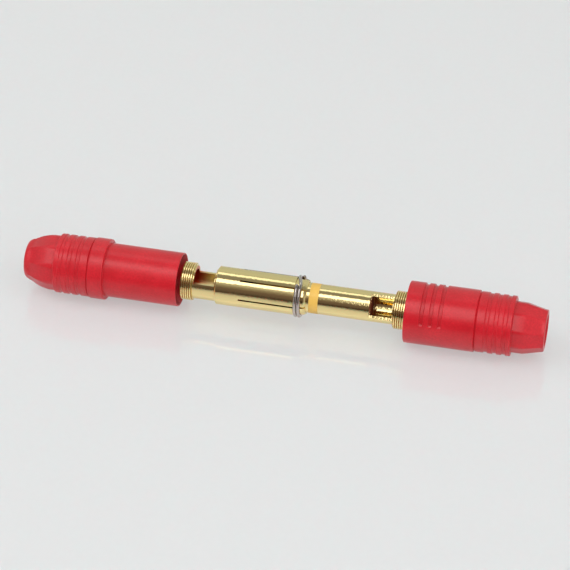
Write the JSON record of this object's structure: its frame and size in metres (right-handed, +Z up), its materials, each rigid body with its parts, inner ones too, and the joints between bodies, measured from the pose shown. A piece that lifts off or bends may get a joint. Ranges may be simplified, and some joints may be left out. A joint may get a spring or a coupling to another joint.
{
  "type": "wire connector",
  "caption": "Round bullet connector for thick wire: gold-plated plug in a slotted spring socket, with red screw-on insulating housings drawn back from both ends.",
  "frame": {"origin": "the middle of the row's footprint, on the surface that the housings lie on", "axes": "+X along the common axis from the socket side to the plug side, +Z up"},
  "size_m": [0.1214, 0.0142, 0.0142],
  "materials": {
    "gold_plate": "polished gold plating",
    "spring_steel": "bright drawn wire",
    "red_nylon": "fine satin moulding",
    "yellow_plastic": "turned satin",
    "resistor_enamel": "lacquer"
  },
  "bodies": {
    "socket": {"socket_contact": "gold_plate", "spring_ring": "spring_steel"},
    "socket_housing": {"socket_housing": "red_nylon"},
    "plug": {"plug_contact": "gold_plate", "insulating_ring": "yellow_plastic", "plug_tip": "gold_plate", "resistor": "resistor_enamel"},
    "plug_housing": {"plug_housing": "red_nylon"}
  },
  "joints": [
    {"name": "plug_slide", "type": "slide", "parent": "socket", "child": "plug", "axis": [-1, 0, 0], "range_m": [-0.012, 0.0141]},
    {"name": "socket_housing_slide", "type": "slide", "parent": "socket", "child": "socket_housing", "axis": [1, 0, 0], "range_m": [-0.01, 0.0303]},
    {"name": "plug_housing_slide", "type": "slide", "parent": "plug", "child": "plug_housing", "axis": [-1, 0, 0], "range_m": [-0.01, 0.0253]}
  ]
}
